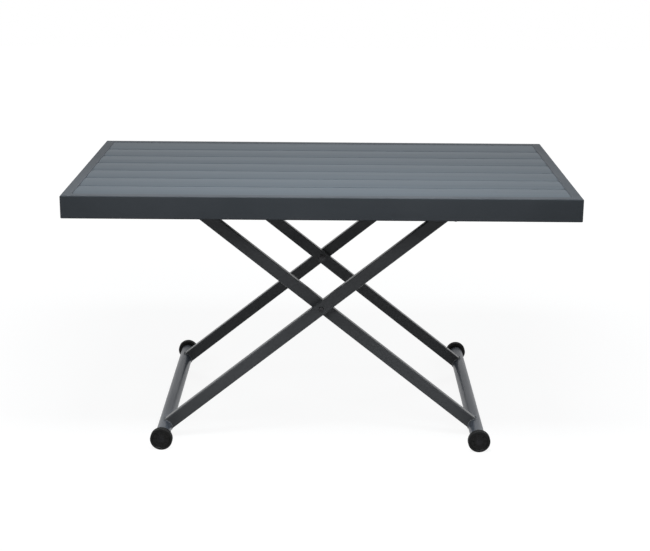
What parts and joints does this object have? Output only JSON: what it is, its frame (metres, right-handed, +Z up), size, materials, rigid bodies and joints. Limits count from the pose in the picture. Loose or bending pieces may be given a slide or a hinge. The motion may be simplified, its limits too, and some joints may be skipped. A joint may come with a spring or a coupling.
{
  "type": "height-adjustable garden table",
  "caption": "Low slatted garden table whose rectangular top rises and sinks level on crossed scissor legs, with a gas spring, a release lever and rollers at the feet.",
  "frame": {"origin": "on the floor, under the centre of the top, with the table fully raised", "axes": "+X along the table's length, from the slide end to the hinge end; +Y to the back; +Z up"},
  "size_m": [1.2, 0.7, 0.63],
  "materials": {
    "frame_coat": "fine matt powder coat in anthracite",
    "leg_coat": "matt powder coat in dark anthracite",
    "foot_coat": "satin powder coat in mid grey",
    "bar_aluminium": "plain mill finish",
    "bracket_paint": "satin black paint",
    "zinc_steel": "bright zinc plate",
    "black_steel": "black oxide",
    "chrome_rod": "polished",
    "black_nylon": "moulded matt",
    "roller_plastic": "moulded matt"
  },
  "bodies": {
    "left_axle": {"left_axle": "black_steel"},
    "outer_legs": {"left_foot_tube": "foot_coat", "left_foot_plugs": "black_nylon", "outer_leg_front": "leg_coat", "outer_leg_back": "leg_coat", "outer_leg_eyes": "black_nylon", "pivot_bolts": "black_steel", "pivot_washers": "black_steel", "pivot_nuts": "black_steel"},
    "inner_legs": {"right_foot_tube": "foot_coat", "right_foot_plugs": "black_nylon", "inner_leg_front": "leg_coat", "inner_leg_back": "leg_coat", "inner_leg_eyes": "black_nylon", "pivot_bushes": "black_nylon", "right_axle": "black_steel"},
    "tabletop": {"apron_front": "frame_coat", "apron_back": "frame_coat", "apron_left": "frame_coat", "apron_right": "frame_coat", "corner_keys": "black_nylon", "slat_1": "frame_coat", "slat_2": "frame_coat", "slat_3": "frame_coat", "slat_4": "frame_coat", "slat_5": "frame_coat", "slat_6": "frame_coat", "slat_7": "frame_coat", "crossbar_slide": "bar_aluminium", "crossbar_middle": "bar_aluminium", "crossbar_hinge": "bar_aluminium", "crossbar_lever": "bar_aluminium", "slat_screws": "zinc_steel", "slide_rail_front": "bar_aluminium", "slide_rail_back": "bar_aluminium", "slide_stops": "black_nylon", "hinge_plates": "bracket_paint", "hinge_pins": "zinc_steel", "spring_cylinder": "bracket_paint", "spring_gland": "bar_aluminium", "spring_end_plug": "bar_aluminium", "spring_anchor": "bracket_paint", "spring_nuts": "zinc_steel", "spring_clamps": "bar_aluminium", "lever_brackets": "bracket_paint"},
    "carriage": {"slide_shaft": "zinc_steel", "slide_block_front": "black_nylon", "slide_block_back": "black_nylon", "spring_rod": "chrome_rod", "spring_piston": "black_nylon", "spring_rod_eye": "bar_aluminium"},
    "release_lever": {"release_shaft": "zinc_steel", "release_arm": "bracket_paint", "release_grip": "black_nylon", "release_finger": "bracket_paint"},
    "valve_pin": {"valve_pin": "zinc_steel"},
    "roller_front_left": {"roller_front_left": "roller_plastic"},
    "roller_back_left": {"roller_back_left": "roller_plastic"},
    "roller_front_right": {"roller_front_right": "roller_plastic"},
    "roller_back_right": {"roller_back_right": "roller_plastic"}
  },
  "joints": [
    {"name": "fold", "type": "hinge", "parent": "left_axle", "child": "outer_legs", "pos_m": [-0.384, 0, 0.027], "axis": [0, 1, 0], "range_deg": [0, 26.5]},
    {"name": "leg_crossing", "type": "hinge", "parent": "outer_legs", "child": "inner_legs", "pos_m": [0, 0, 0.33409], "axis": [0, 1, 0], "range_deg": [-53, 0]},
    {"name": "top_hinge", "type": "hinge", "parent": "outer_legs", "child": "tabletop", "pos_m": [0.324, 0, 0.5932], "axis": [0, 1, 0], "range_deg": [-26.5, 0]},
    {"name": "slide_hinge", "type": "hinge", "parent": "inner_legs", "child": "carriage", "pos_m": [-0.324, 0, 0.5932], "axis": [0, 1, 0], "range_deg": [0, 26.5]},
    {"name": "release", "type": "hinge", "parent": "tabletop", "child": "release_lever", "pos_m": [0.4235, 0, 0.6072], "axis": [0, 1, 0], "range_deg": [0, 10], "stiffness_Nm_per_rad": 1, "springref_deg": -14.32},
    {"name": "valve", "type": "slide", "parent": "tabletop", "child": "valve_pin", "axis": [-1, 0, 0], "range_m": [0, 0.0025]},
    {"name": "roll_front_left", "type": "hinge", "parent": "left_axle", "child": "roller_front_left", "pos_m": [-0.384, -0.3315, 0.027], "axis": [0, 1, 0], "continuous": true},
    {"name": "roll_back_left", "type": "hinge", "parent": "left_axle", "child": "roller_back_left", "pos_m": [-0.384, 0.3315, 0.027], "axis": [0, 1, 0], "continuous": true},
    {"name": "roll_front_right", "type": "hinge", "parent": "inner_legs", "child": "roller_front_right", "pos_m": [0.384, -0.3315, 0.027], "axis": [0, 1, 0], "continuous": true},
    {"name": "roll_back_right", "type": "hinge", "parent": "inner_legs", "child": "roller_back_right", "pos_m": [0.384, 0.3315, 0.027], "axis": [0, 1, 0], "continuous": true}
  ],
  "couplings": [
    {"joint": "leg_crossing", "follows": "fold", "ratio": -2},
    {"joint": "top_hinge", "follows": "fold", "ratio": -1},
    {"joint": "slide_hinge", "follows": "fold", "ratio": 1},
    {"joint": "valve", "follows": "release", "m_per_rad": 0.014}
  ]
}
